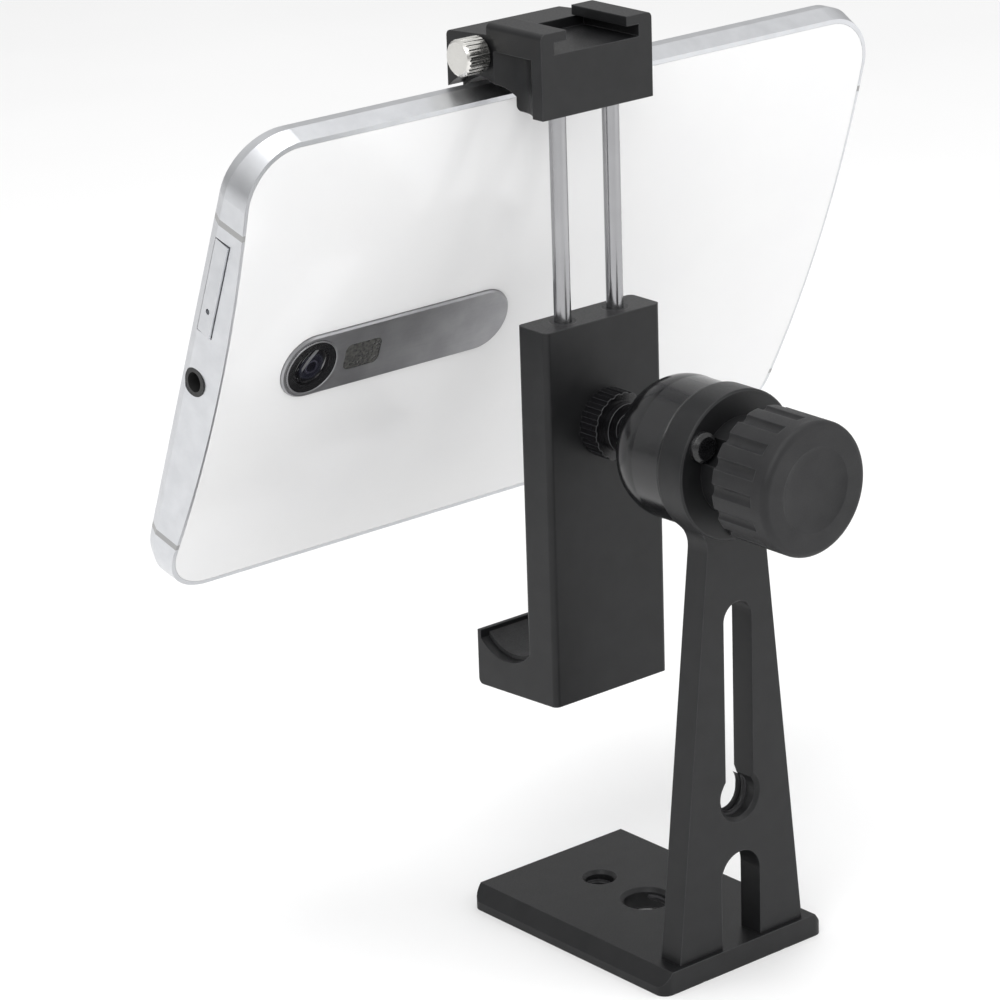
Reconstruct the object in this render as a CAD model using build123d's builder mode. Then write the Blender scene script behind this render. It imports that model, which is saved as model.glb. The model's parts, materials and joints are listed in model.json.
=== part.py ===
from build123d import *
import os
from math import asin, cos, pi, radians, sin, sqrt

# Smartphone prompter stand: a slotted bracket on a dovetail foot, a lockable ball head,
# a sprung two-rod phone clamp with a cold shoe, and the phone that shows the script.
# Millimetres. +Z is up. X is across the stand, Y runs from the phone's screen (-Y)
# to the locking knob (+Y), and the floor is Z = 0 under the foot.

# ---- foot plate --------------------------------------------------------------
FOOT_W = 38.0
FOOT_TOP_W = 33.8
FOOT_T = 4.2
FOOT_LAND = 1.5
FOOT_CORNER_R = 2.0
FOOT_Y_BACK = 0.8
FOOT_Y_FRONT = -50.5
TAP_SMALL_R = 2.6
TAP_SMALL_MOUTH_R = 3.2
TAP_SMALL_Y = -37.3
TAP_LARGE_R = 4.0
TAP_LARGE_MOUTH_R = 4.75
TAP_LARGE_Y = -24.8
TAP_CHAMFER = 0.6

# ---- foot screws (M3 countersunk) --------------------------------------------
M3_R = 1.45
M3_HOLE_R = 1.5
M3_CLEAR_R = 1.65
M3_SINK_R = 3.0
M3_SINK_DEPTH = 1.6
FOOT_SCREW_X = 9.6
FOOT_SCREW_LENGTH = 11.0
SOCKET_KEY = 2.0
SCREW_RECESS = 0.3

# ---- upright bracket ---------------------------------------------------------
UPRIGHT_T = 4.9
UPRIGHT_BASE_W = 28.8
NECK_Z = 75.1
NECK_W = 13.4
NECK_FILLET = 5.0
SLOT_W = 6.5
SLOT_TOP_Z = 67.4
KEYHOLE_Z = 31.7
ARCH_W = 9.0
ARCH_TOP_Z = 21.4
HEAD_Z = 91.8
HEAD_R = 13.05
HEAD_Y_BACK = 0.7
HEAD_Y_FRONT = -5.2
EDGE_BREAK = 0.3
PICK_TOLERANCE = 0.1  # how near an edge's centre is to a face for it to be picked
RADIUS_TOLERANCE = 0.01
CUT_OVERRUN = 0.3  # how far a cut starts outside the face that it opens

# ---- ball head ---------------------------------------------------------------
BALL_R = 7.0
BALL_Y = -14.5
BALL_GAP = 0.05
DOME_R = 12.5
DOME_CYLINDER_Y = -12.0
DOME_MOUTH_Y = -20.4
DOME_MOUTH_R = 6.2
MOUTH_INNER_Y = -18.9
HEAD_SCREW_CIRCLE_R = 9.9
HEAD_SCREW_ANGLES = (152.0, 32.0, 272.0)
BUTTON_R = 2.6
BUTTON_H = 1.5
BUTTON_THREAD_LENGTH = 9.0
PAD_R = 6.0
PAD_Y_BACK = -6.2
STUD_NECK_R = 2.6
STUD_FLANGE_R = 4.4
STUD_FLANGE_Y = -27.0
STUD_FLANGE_T = 1.2
STUD_R = 3.1
STUD_TIP_Y = -37.4
LOCK_RING_R = 6.1
LOCK_RING_FLUTES = 20
LOCK_RING_FLUTE_R = 0.6
LOCK_RING_FLUTE_OUT = 0.35

# ---- locking knob ------------------------------------------------------------
KNOB_R = 11.6
KNOB_Y_BACK = 6.6
KNOB_Y_FRONT = 19.0
KNOB_FLUTES = 16
KNOB_FLUTE_R = 1.2
KNOB_FLUTE_OUT = KNOB_FLUTE_R * 0.45
KNOB_EDGE_R = 1.2
KNOB_RIM_L = 3.2
KNOB_DISH_R = 7.4
KNOB_DISH_DEPTH = 0.7
KNOB_DISH_MID = (0.6, 0.75)  # share of the dish's radius, and its depth there as a share
COLLAR_R = 8.6
SPINDLE_R = 3.0
SPINDLE_TIP_Y = -5.3
SPINDLE_HEX = 8.0
SPINDLE_HEX_Y = 10.4
SPINDLE_END_Y = 15.5

# ---- clamp body --------------------------------------------------------------
CLAMP_Y_BACK = -32.5
CLAMP_T = 7.6
CLAMP_Y_FRONT = CLAMP_Y_BACK - CLAMP_T
CLAMP_W = 26.1
CLAMP_Z_LOW = 42.1
CLAMP_Z_TOP = 110.3
CLAMP_EDGE_R = 1.0
JAW_TIP_Y = -53.6
JAW_TIP_LOW_Z = 40.9
JAW_LIP_Z = 51.2
JAW_SEAT_Y = -47.3
JAW_SEAT_Z = 47.9
JAW_ROOT_Z = 50.2
PAD_T = 0.8
CLAMP_PAD_W = 22.0
STUD_BORE_R = 3.15
STUD_BORE_END_Y = -37.8

# ---- guide rods, bushes and springs ------------------------------------------
ROD_R = 1.5
ROD_SPACING = 11.9
ROD_Y = -36.3
ROD_BOTTOM_Z = 61.5
ROD_TOP_Z = 156.0
POCKET_R = 2.35
POCKET_BOTTOM_Z = 45.6
BUSH_L = 6.0
BUSH_BORE_R = 1.55
STOP_T = 1.5
SPRING_R = 1.93
SPRING_WIRE_R = 0.3
SPRING_TURNS = 11

# ---- upper jaw with cold shoe ------------------------------------------------
SHOE_W = 24.6
BLOCK_Z_LOW = 147.0
BLOCK_Z_TOP = 161.6
BLOCK_Y_FRONT = -41.6
ARM_TIP_Y = -57.2
ARM_TIP_LOW_Z = 149.2
ARM_TIP_TOP_Z = 158.9
ARM_ROOT_TOP_Z = 159.6
ARCH_CROWN_Y = -50.0
ARCH_CROWN_Z = 152.2
ARCH_ROOT_Z = 149.4
RAIL_Y_FRONT = -46.6
SHOE_SLOT_W = 18.8
SHOE_MOUTH_W = 13.4
RAIL_T = 1.7
SHOE_DEPTH = 3.8
ARM_SCOOP_R = 6.5
ARM_SCOOP_DEPTH = 2.2
ARM_SCOOP_Y = -40.0
ARM_SCOOP_TOP_Z = 157.0

# ---- thumbscrew --------------------------------------------------------------
THUMB_Y = -48.0
THUMB_Z = 156.2
THUMB_HEAD_R = 3.2
THUMB_HEAD_L = 5.0
THUMB_HEAD_GAP = 0.3
THUMB_FLUTES = 24
THUMB_SHANK_R = 1.5
THUMB_SHANK_L = 14.0
THUMB_FLUTE_R = 0.28
THUMB_FLUTE_OUT = 0.12
THUMB_CHAMFER = 0.45

# ---- phone, drawn upright, its top edge on Z = 0 -----------------------------
PHONE_X_LOW = -78.7
PHONE_X_HIGH = 63.7
PHONE_H = 92.6
PHONE_CORNER_R = 11.0
PHONE_FRONT_Y = -3.0
PHONE_RIDGE_Y = -0.8
PHONE_EDGE_Y = 2.6
PHONE_CROWN_Y = 6.6
PHONE_TOP_Y = -47.8
PHONE_TOP_Z = 150.3
PHONE_PITCH = -21.7
FRAME_INSET = 1.3
FRAME_WALL = 2.6
FRAME_FRONT_TAPER = 20
FRAME_BACK_TAPER = 7
GLASS_T = 0.9
DISPLAY_T = 1.1
DISPLAY_BORDER = (16.0, 6.0)
BACK_T = 1.2
PIECE_GAP = 0.05
PILL_X_LOW = 0.1
PILL_X_HIGH = 49.9
PILL_W = 12.5
PILL_Z = -45.0
PILL_PROUD = 0.5
LENS_R = 5.4
LENS_GLASS_R = 3.6
LENS_DEPTH = 3.0
LENS_RIM = 0.1
LENS_RECESS = 0.7
LENS_GLASS_T = 0.6
FLASH_CORNER_R = 1.2
FLASH_DEPTH = 1.15
LENS_X = PILL_X_HIGH - PILL_W / 2
FLASH_X = LENS_X - 10.9
FLASH_SIZE = (7.7, 5.2)
PORT_Y = 0.9
TRAY_Z = -27.9
TRAY_L = 18.2
TRAY_T = 3.4
TRAY_DEPTH = 14.0
TRAY_GAP = 0.15
TRAY_PIN_Z = -32.5
TRAY_PIN_R = 0.5
TRAY_PIN_DEPTH = 1.0
TRAY_WALLS = (4.0, 0.8, 6.0)  # what its hollow leaves along its depth, thickness and length
JACK_Z = -47.0
JACK_BARREL_R = 2.6
JACK_BORE_R = 1.75
JACK_L = 13.0
JACK_RECESS = 0.2
JACK_END_WALL = 1.0
PORT_SIZE = (9.0, 3.2)
PORT_DEPTH = 6.5
PORT_RECESS = 0.3
PORT_SHELL = 0.9  # twice the shell's thickness
TONGUE_T = 0.7
TONGUE_INSET = 2.4
TONGUE_FROM = 1.5
PORT_END_T = 0.8
PORT_END_BACK = 0.1
KEY_T = 2.0
KEY_PROUD = 0.6
KEY_DEPTH = 1.5
KEY_GAP = 0.15
KEY_CORNER_R = 0.8
POWER_KEY = (-30.0, 9.0)
VOLUME_KEY = (-52.0, 20.0)
BATTERY_SIZE = (70.0, 3.0, 52.0)
BATTERY_FROM_MID = (-12.0, -6.0)
INNER_GAP = 0.3
BOARD_SIZE = (20.0, 1.2, 38.0)
BOARD_FROM_MID = (40.0, -18.0)

os.makedirs("parts", exist_ok=True)
FROM_BASE = (Align.CENTER, Align.CENTER, Align.MIN)
HEAD_AXIS = Axis((0, 0, HEAD_Z), (0, 1, 0))
PHONE_X_MID = (PHONE_X_LOW + PHONE_X_HIGH) / 2
PHONE_L = PHONE_X_HIGH - PHONE_X_LOW
PHONE_PLACE = Location((0, PHONE_TOP_Y, PHONE_TOP_Z), (PHONE_PITCH, 0, 0))


def save(part, name, place=Location()):
    """Name one piece and write it where it stands on the assembled stand."""
    placed = place * part
    placed.label = name
    export_step(placed, f"parts/{name}.step")


def facing_front(y):
    """A plane at this Y that looks towards the screen: local x is X, local y is Z."""
    return Plane(origin=(0, y, 0), x_dir=(1, 0, 0), z_dir=(0, -1, 0))


def facing_back(y):
    """A plane at this Y that looks towards the knob: local x is X, local y is -Z."""
    return Plane(origin=(0, y, 0), x_dir=(1, 0, 0), z_dir=(0, 1, 0))


def side_plane(x):
    """A plane at this X: local x is Y, local y is Z."""
    return Plane.YZ.offset(x)


def on_screw_circle(angle, side=1):
    """Where a head screw at this angle sits round the head's axis."""
    return (HEAD_SCREW_CIRCLE_R * cos(radians(angle)), side * HEAD_SCREW_CIRCLE_R * sin(radians(angle)))


def rods_x():
    return (-ROD_SPACING / 2, ROD_SPACING / 2)


def slot_width_at(z):
    """Width of the tapering upright at this height."""
    share = (z - FOOT_T) / (NECK_Z - FOOT_T)
    return UPRIGHT_BASE_W + (NECK_W - UPRIGHT_BASE_W) * share


# ---- foot plate --------------------------------------------------------------
with BuildPart() as foot_plate:
    with BuildSketch(facing_front(FOOT_Y_BACK)):
        Polygon(
            (-FOOT_W / 2, 0), (FOOT_W / 2, 0), (FOOT_W / 2, FOOT_LAND), (FOOT_TOP_W / 2, FOOT_T),
            (-FOOT_TOP_W / 2, FOOT_T), (-FOOT_W / 2, FOOT_LAND), align=None,
        )
    extrude(amount=FOOT_Y_BACK - FOOT_Y_FRONT)
    with BuildSketch(Plane.XY):
        with Locations((0, (FOOT_Y_BACK + FOOT_Y_FRONT) / 2)):
            RectangleRounded(FOOT_W, FOOT_Y_BACK - FOOT_Y_FRONT, FOOT_CORNER_R)
    extrude(amount=FOOT_T, mode=Mode.INTERSECT)
    for tap_y, wall_r, mouth_r in (
        (TAP_SMALL_Y, TAP_SMALL_R, TAP_SMALL_MOUTH_R),
        (TAP_LARGE_Y, TAP_LARGE_R, TAP_LARGE_MOUTH_R),
    ):
        with Locations((0, tap_y, FOOT_T / 2)):
            Cylinder(wall_r, FOOT_T, mode=Mode.SUBTRACT)
        with Locations((0, tap_y, FOOT_T - TAP_CHAMFER / 2)):
            Cone(wall_r, mouth_r, TAP_CHAMFER, mode=Mode.SUBTRACT)
        with Locations((0, tap_y, TAP_CHAMFER / 2)):
            Cone(mouth_r, wall_r, TAP_CHAMFER, mode=Mode.SUBTRACT)
    with Locations((-FOOT_SCREW_X, -UPRIGHT_T / 2, 0), (FOOT_SCREW_X, -UPRIGHT_T / 2, 0)):
        with Locations((0, 0, FOOT_T / 2)):
            Cylinder(M3_CLEAR_R, FOOT_T, mode=Mode.SUBTRACT)
        with Locations((0, 0, (M3_SINK_DEPTH + SCREW_RECESS) / 2)):
            Cone(M3_SINK_R + SCREW_RECESS, M3_CLEAR_R, M3_SINK_DEPTH + SCREW_RECESS, mode=Mode.SUBTRACT)
save(foot_plate.part, "foot_plate")

# ---- upright bracket with its head ring --------------------------------------
with BuildPart() as upright:
    with BuildSketch(facing_front(0)):
        base, neck = UPRIGHT_BASE_W / 2, slot_width_at(HEAD_Z - HEAD_R) / 2
        neck_top = HEAD_Z - HEAD_R + 2
        Polygon((-base, FOOT_T), (base, FOOT_T), (neck, neck_top), (-neck, neck_top), align=None)
        with Locations((0, HEAD_Z)):
            Circle(HEAD_R)
    extrude(amount=UPRIGHT_T)
    root_edges = upright.edges().filter_by(Axis.Y).filter_by(
        lambda e: FOOT_T + 1 < e.center().Z < HEAD_Z - HEAD_R / 2
    )
    fillet(root_edges, NECK_FILLET)
    with BuildSketch(side_plane(0)):
        with BuildLine():
            Polyline(
                (HEAD_Y_BACK, HEAD_Z), (HEAD_Y_BACK, HEAD_Z + HEAD_R - EDGE_BREAK),
                (HEAD_Y_BACK - EDGE_BREAK, HEAD_Z + HEAD_R), (HEAD_Y_FRONT + EDGE_BREAK, HEAD_Z + HEAD_R),
                (HEAD_Y_FRONT, HEAD_Z + HEAD_R - EDGE_BREAK), (HEAD_Y_FRONT, HEAD_Z), close=True,
            )
        make_face()
    revolve(axis=HEAD_AXIS)
    with BuildSketch(facing_front(HEAD_Y_BACK)):
        slot_mid = (KEYHOLE_Z + SLOT_TOP_Z - SLOT_W / 2) / 2
        with Locations((0, slot_mid)):
            SlotCenterToCenter(SLOT_TOP_Z - SLOT_W / 2 - KEYHOLE_Z, SLOT_W, rotation=90)
        with Locations((0, KEYHOLE_Z)):
            Circle(TAP_LARGE_R)
        with Locations((0, ARCH_TOP_Z - ARCH_W / 2)):
            Circle(ARCH_W / 2)
        with Locations((0, (FOOT_T + ARCH_TOP_Z - ARCH_W / 2) / 2)):
            Rectangle(ARCH_W, ARCH_TOP_Z - ARCH_W / 2 - FOOT_T)
    extrude(amount=HEAD_Y_BACK + UPRIGHT_T, mode=Mode.SUBTRACT)
    with BuildSketch(side_plane(0)):
        with BuildLine():
            Polyline((0, KEYHOLE_Z), (0, KEYHOLE_Z + TAP_LARGE_MOUTH_R), (-TAP_CHAMFER, KEYHOLE_Z + TAP_LARGE_R),
                     (-TAP_CHAMFER, KEYHOLE_Z), close=True)
        make_face()
        with BuildLine():
            Polyline((-UPRIGHT_T, KEYHOLE_Z), (-UPRIGHT_T, KEYHOLE_Z + TAP_LARGE_MOUTH_R),
                     (TAP_CHAMFER - UPRIGHT_T, KEYHOLE_Z + TAP_LARGE_R),
                     (TAP_CHAMFER - UPRIGHT_T, KEYHOLE_Z), close=True)
        make_face()
    revolve(axis=Axis((0, 0, KEYHOLE_Z), (0, 1, 0)), mode=Mode.SUBTRACT)
    with Locations((0, (HEAD_Y_BACK + HEAD_Y_FRONT) / 2, HEAD_Z)):
        Cylinder(SPINDLE_R + PIECE_GAP, HEAD_Y_BACK - HEAD_Y_FRONT, rotation=(90, 0, 0), mode=Mode.SUBTRACT)
    with Locations(Plane(origin=(0, 0, HEAD_Z), x_dir=(1, 0, 0), z_dir=(0, -1, 0))):
        for angle in HEAD_SCREW_ANGLES:
            with Locations((*on_screw_circle(angle),
                            -(HEAD_Y_BACK + HEAD_Y_FRONT) / 2)):
                Cylinder(M3_HOLE_R, HEAD_Y_BACK - HEAD_Y_FRONT, mode=Mode.SUBTRACT)
    with Locations((-FOOT_SCREW_X, -UPRIGHT_T / 2, FOOT_T), (FOOT_SCREW_X, -UPRIGHT_T / 2, FOOT_T)):
        Cylinder(M3_HOLE_R, FOOT_SCREW_LENGTH, align=FROM_BASE, mode=Mode.SUBTRACT)
save(upright.part, "upright")

# ---- foot screws -------------------------------------------------------------
with BuildPart() as foot_screws:
    with Locations((-FOOT_SCREW_X, -UPRIGHT_T / 2, SCREW_RECESS), (FOOT_SCREW_X, -UPRIGHT_T / 2, SCREW_RECESS)):
        with Locations((0, 0, M3_SINK_DEPTH / 2)):
            Cone(M3_SINK_R, M3_R, M3_SINK_DEPTH)
        Cylinder(M3_R, FOOT_SCREW_LENGTH, align=FROM_BASE)
        with Locations((0, 0, 0)):
            Cylinder(SOCKET_KEY / 2, M3_SINK_DEPTH, align=FROM_BASE, mode=Mode.SUBTRACT)
save(foot_screws.part, "foot_screws")

# ---- ball socket -------------------------------------------------------------
with BuildPart() as ball_socket:
    with BuildSketch(side_plane(0)):
        with BuildLine():
            inner = BALL_R + BALL_GAP
            mouth_r = sqrt(inner**2 - (BALL_Y - MOUTH_INNER_Y) ** 2)
            bulge = radians(50)
            Polyline(
                (HEAD_Y_FRONT, HEAD_Z + inner), (HEAD_Y_FRONT, HEAD_Z + DOME_R - EDGE_BREAK * 2),
                (HEAD_Y_FRONT - EDGE_BREAK * 2, HEAD_Z + DOME_R), (DOME_CYLINDER_Y, HEAD_Z + DOME_R),
            )
            ThreePointArc(
                (DOME_CYLINDER_Y, HEAD_Z + DOME_R),
                (DOME_CYLINDER_Y + (DOME_MOUTH_Y - DOME_CYLINDER_Y) * sin(bulge),
                 HEAD_Z + DOME_MOUTH_R + (DOME_R - DOME_MOUTH_R) * cos(bulge)),
                (DOME_MOUTH_Y, HEAD_Z + DOME_MOUTH_R),
            )
            Line((DOME_MOUTH_Y, HEAD_Z + DOME_MOUTH_R), (MOUTH_INNER_Y, HEAD_Z + mouth_r))
            half = (asin(mouth_r / inner) + pi / 2) / 2
            ThreePointArc(
                (MOUTH_INNER_Y, HEAD_Z + mouth_r),
                (BALL_Y - inner * cos(half), HEAD_Z + inner * sin(half)),
                (BALL_Y, HEAD_Z + inner),
            )
            Line((BALL_Y, HEAD_Z + inner), (HEAD_Y_FRONT, HEAD_Z + inner))
        make_face()
    revolve(axis=HEAD_AXIS)
    with Locations(Plane(origin=(0, HEAD_Y_FRONT, HEAD_Z), x_dir=(1, 0, 0), z_dir=(0, -1, 0))):
        for angle in HEAD_SCREW_ANGLES:
            with Locations((*on_screw_circle(angle), 0)):
                Cylinder(M3_HOLE_R, BUTTON_THREAD_LENGTH, mode=Mode.SUBTRACT)
save(ball_socket.part, "ball_socket")

# ---- head screws: button heads on the knob side ------------------------------
with BuildPart() as head_screws:
    with Locations(Plane(origin=(0, HEAD_Y_BACK, HEAD_Z), x_dir=(1, 0, 0), z_dir=(0, -1, 0))):
        for angle in HEAD_SCREW_ANGLES:
            with Locations((*on_screw_circle(angle), 0)):
                Cylinder(M3_R, BUTTON_THREAD_LENGTH, align=FROM_BASE)
                Cylinder(BUTTON_R, BUTTON_H, align=(Align.CENTER, Align.CENTER, Align.MAX))
    chamfer(
        head_screws.edges().filter_by(GeomType.CIRCLE).filter_by(
            lambda e: abs(e.radius - BUTTON_R) < RADIUS_TOLERANCE and e.center().Y > HEAD_Y_BACK + BUTTON_H / 2
        ),
        EDGE_BREAK * 2,
    )
    with Locations(Plane(origin=(0, HEAD_Y_BACK + BUTTON_H, HEAD_Z), x_dir=(1, 0, 0), z_dir=(0, -1, 0))):
        for angle in HEAD_SCREW_ANGLES:
            with BuildSketch(Location((HEAD_SCREW_CIRCLE_R * cos(radians(angle)),
                                       HEAD_SCREW_CIRCLE_R * sin(radians(angle)), 0))):
                RegularPolygon(SOCKET_KEY / 2, 6)
    extrude(amount=BUTTON_H, mode=Mode.SUBTRACT)
save(head_screws.part, "head_screws")

# ---- ball --------------------------------------------------------------------
with BuildPart() as ball:
    with Locations((0, BALL_Y, HEAD_Z)):
        Sphere(BALL_R)
save(ball.part, "ball")

# ---- brake pad: its cupped face bears on the ball ----------------------------
with BuildPart() as brake_pad:
    with BuildSketch(side_plane(0)):
        with BuildLine():
            seat = BALL_R + BALL_GAP
            rim_r = PAD_R - EDGE_BREAK
            Polyline(
                (BALL_Y + seat, HEAD_Z), (PAD_Y_BACK, HEAD_Z), (PAD_Y_BACK, HEAD_Z + PAD_R),
                (BALL_Y + sqrt(seat**2 - rim_r**2), HEAD_Z + PAD_R),
                (BALL_Y + sqrt(seat**2 - rim_r**2), HEAD_Z + rim_r),
            )
            ThreePointArc(
                (BALL_Y + sqrt(seat**2 - rim_r**2), HEAD_Z + rim_r),
                (BALL_Y + sqrt(seat**2 - rim_r**2 / 4), HEAD_Z + rim_r / 2),
                (BALL_Y + seat, HEAD_Z),
            )
        make_face()
    revolve(axis=HEAD_AXIS)
save(brake_pad.part, "brake_pad")

# ---- ball stud: cupped neck, flange and threaded end -------------------------
with BuildPart() as ball_stud:
    with BuildSketch(side_plane(0)):
        with BuildLine():
            seat = BALL_R + BALL_GAP * 2
            neck_root = BALL_Y - sqrt(seat**2 - STUD_NECK_R**2)
            Polyline(
                (BALL_Y - seat, HEAD_Z), (STUD_TIP_Y, HEAD_Z), (STUD_TIP_Y, HEAD_Z + STUD_R - EDGE_BREAK),
                (STUD_TIP_Y + EDGE_BREAK, HEAD_Z + STUD_R), (STUD_FLANGE_Y - STUD_FLANGE_T, HEAD_Z + STUD_R),
                (STUD_FLANGE_Y - STUD_FLANGE_T, HEAD_Z + STUD_FLANGE_R), (STUD_FLANGE_Y, HEAD_Z + STUD_FLANGE_R),
                (STUD_FLANGE_Y, HEAD_Z + STUD_NECK_R), (neck_root, HEAD_Z + STUD_NECK_R),
            )
            ThreePointArc(
                (neck_root, HEAD_Z + STUD_NECK_R),
                (BALL_Y - sqrt(seat**2 - STUD_NECK_R**2 / 4), HEAD_Z + STUD_NECK_R / 2),
                (BALL_Y - seat, HEAD_Z),
            )
        make_face()
    revolve(axis=HEAD_AXIS)
save(ball_stud.part, "ball_stud")

# ---- fluted lock ring between the stud's flange and the clamp ----------------
with BuildPart() as lock_ring:
    with BuildSketch(facing_front(STUD_FLANGE_Y - STUD_FLANGE_T - PIECE_GAP)):
        with Locations((0, HEAD_Z)):
            Circle(LOCK_RING_R)
            Circle(STUD_BORE_R, mode=Mode.SUBTRACT)
            with PolarLocations(LOCK_RING_R + LOCK_RING_FLUTE_OUT, LOCK_RING_FLUTES):
                Circle(LOCK_RING_FLUTE_R, mode=Mode.SUBTRACT)
    extrude(amount=STUD_FLANGE_Y - STUD_FLANGE_T - PIECE_GAP - CLAMP_Y_BACK)
save(lock_ring.part, "lock_ring")

# ---- locking knob ------------------------------------------------------------
with BuildPart() as thrust_collar:
    with BuildSketch(facing_back(HEAD_Y_BACK)):
        with Locations((0, -HEAD_Z)):
            Circle(COLLAR_R)
            Circle(SPINDLE_R + PIECE_GAP, mode=Mode.SUBTRACT)
            for angle in HEAD_SCREW_ANGLES:
                with Locations(on_screw_circle(angle, -1)):
                    Circle(BUTTON_R + EDGE_BREAK, mode=Mode.SUBTRACT)
    extrude(amount=KNOB_Y_BACK - HEAD_Y_BACK - EDGE_BREAK)
save(thrust_collar.part, "thrust_collar")

with BuildPart() as knob_grip:
    with BuildSketch(facing_back(KNOB_Y_BACK)):
        with Locations((0, -HEAD_Z)):
            Circle(KNOB_R)
    extrude(amount=KNOB_Y_FRONT - KNOB_Y_BACK)
    with BuildSketch(facing_back(KNOB_Y_BACK)):
        with Locations((0, -HEAD_Z)):
            with PolarLocations(KNOB_R + KNOB_FLUTE_OUT, KNOB_FLUTES):
                Circle(KNOB_FLUTE_R)
    extrude(amount=KNOB_Y_FRONT - KNOB_RIM_L - KNOB_Y_BACK, mode=Mode.SUBTRACT)
    fillet(
        knob_grip.edges().filter_by(GeomType.CIRCLE).filter_by(
            lambda e: abs(e.radius - KNOB_R) < RADIUS_TOLERANCE and e.center().Y > KNOB_Y_FRONT - PICK_TOLERANCE
        ),
        KNOB_EDGE_R,
    )
    with BuildSketch(side_plane(0)):
        with BuildLine():
            Polyline((KNOB_Y_FRONT - KNOB_DISH_DEPTH, HEAD_Z), (KNOB_Y_FRONT, HEAD_Z))
            Line((KNOB_Y_FRONT, HEAD_Z), (KNOB_Y_FRONT, HEAD_Z + KNOB_DISH_R))
            Spline((KNOB_Y_FRONT, HEAD_Z + KNOB_DISH_R),
                   (KNOB_Y_FRONT - KNOB_DISH_DEPTH * KNOB_DISH_MID[1], HEAD_Z + KNOB_DISH_R * KNOB_DISH_MID[0]),
                   (KNOB_Y_FRONT - KNOB_DISH_DEPTH, HEAD_Z),
                   tangents=[(-1, -2), (0, -1)])
        make_face()
    revolve(axis=HEAD_AXIS, mode=Mode.SUBTRACT)
    with BuildSketch(facing_back(KNOB_Y_BACK)):
        with Locations((0, -HEAD_Z)):
            Circle(SPINDLE_R + PIECE_GAP)
    extrude(amount=SPINDLE_HEX_Y - KNOB_Y_BACK, mode=Mode.SUBTRACT)
    with BuildSketch(facing_back(SPINDLE_HEX_Y)):
        with Locations((0, -HEAD_Z)):
            RegularPolygon(SPINDLE_HEX / 2 + PIECE_GAP, 6, major_radius=False)
    extrude(amount=SPINDLE_END_Y - SPINDLE_HEX_Y + PIECE_GAP, mode=Mode.SUBTRACT)
save(knob_grip.part, "knob_grip")

with BuildPart() as knob_spindle:
    with BuildSketch(facing_back(SPINDLE_TIP_Y)):
        with Locations((0, -HEAD_Z)):
            Circle(SPINDLE_R)
    extrude(amount=SPINDLE_HEX_Y - SPINDLE_TIP_Y)
    with BuildSketch(facing_back(SPINDLE_HEX_Y)):
        with Locations((0, -HEAD_Z)):
            RegularPolygon(SPINDLE_HEX / 2, 6, major_radius=False)
    extrude(amount=SPINDLE_END_Y - SPINDLE_HEX_Y)
save(knob_spindle.part, "knob_spindle")

# ---- clamp body with the lower jaw -------------------------------------------
with BuildPart() as clamp_body:
    with BuildSketch(side_plane(0)):
        with BuildLine():
            Polyline(
                (CLAMP_Y_FRONT, JAW_ROOT_Z - PAD_T), (CLAMP_Y_FRONT, CLAMP_Z_TOP), (CLAMP_Y_BACK, CLAMP_Z_TOP),
                (CLAMP_Y_BACK, CLAMP_Z_LOW), (JAW_TIP_Y, JAW_TIP_LOW_Z), (JAW_TIP_Y, JAW_LIP_Z),
            )
            Line((JAW_TIP_Y, JAW_LIP_Z), (JAW_TIP_Y + PAD_T, JAW_LIP_Z))
            Line((JAW_TIP_Y + PAD_T, JAW_LIP_Z), (JAW_TIP_Y + PAD_T, JAW_LIP_Z - 2 * PAD_T))
            ThreePointArc(
                (JAW_TIP_Y + PAD_T, JAW_LIP_Z - 2 * PAD_T), (JAW_SEAT_Y, JAW_SEAT_Z - PAD_T),
                (CLAMP_Y_FRONT, JAW_ROOT_Z - PAD_T),
            )
        make_face()
    extrude(amount=CLAMP_W / 2, both=True)
    fillet(
        clamp_body.edges().filter_by(Axis.Z).filter_by(lambda e: e.center().Y > CLAMP_Y_FRONT - PICK_TOLERANCE),
        CLAMP_EDGE_R,
    )
    fillet(
        clamp_body.edges().filter_by(Axis.X).filter_by(
            lambda e: e.center().Y < JAW_TIP_Y + PICK_TOLERANCE and e.center().Z < JAW_LIP_Z - 1
        ),
        CLAMP_EDGE_R,
    )
    with Locations((0, (CLAMP_Y_BACK + STUD_BORE_END_Y) / 2, HEAD_Z)):
        Cylinder(STUD_BORE_R, CLAMP_Y_BACK - STUD_BORE_END_Y, rotation=(90, 0, 0), mode=Mode.SUBTRACT)
    for x in rods_x():
        with Locations((x, ROD_Y, 0)):
            with Locations((0, 0, (CLAMP_Z_LOW + CLAMP_Z_TOP) / 2)):
                Cylinder(POCKET_R, CLAMP_Z_TOP - CLAMP_Z_LOW + 2, mode=Mode.SUBTRACT)
save(clamp_body.part, "clamp_body")

with BuildPart() as rod_bushes:
    for x in rods_x():
        with BuildSketch(Plane.XY.offset(CLAMP_Z_TOP - BUSH_L)):
            with Locations((x, ROD_Y)):
                Circle(POCKET_R)
                Circle(BUSH_BORE_R, mode=Mode.SUBTRACT)
    extrude(amount=BUSH_L)
save(rod_bushes.part, "rod_bushes")

with BuildPart() as pocket_plugs:
    for x in rods_x():
        with BuildSketch(Plane.XY.offset(CLAMP_Z_LOW - CUT_OVERRUN)):
            with Locations((x, ROD_Y)):
                Circle(POCKET_R)
    extrude(amount=POCKET_BOTTOM_Z - CLAMP_Z_LOW)
save(pocket_plugs.part, "pocket_plugs")

with BuildPart() as guide_rods:
    for x in rods_x():
        with BuildSketch(Plane.XY.offset(ROD_BOTTOM_Z)):
            with Locations((x, ROD_Y)):
                Circle(ROD_R)
    extrude(amount=ROD_TOP_Z - ROD_BOTTOM_Z)
save(guide_rods.part, "guide_rods")

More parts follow.
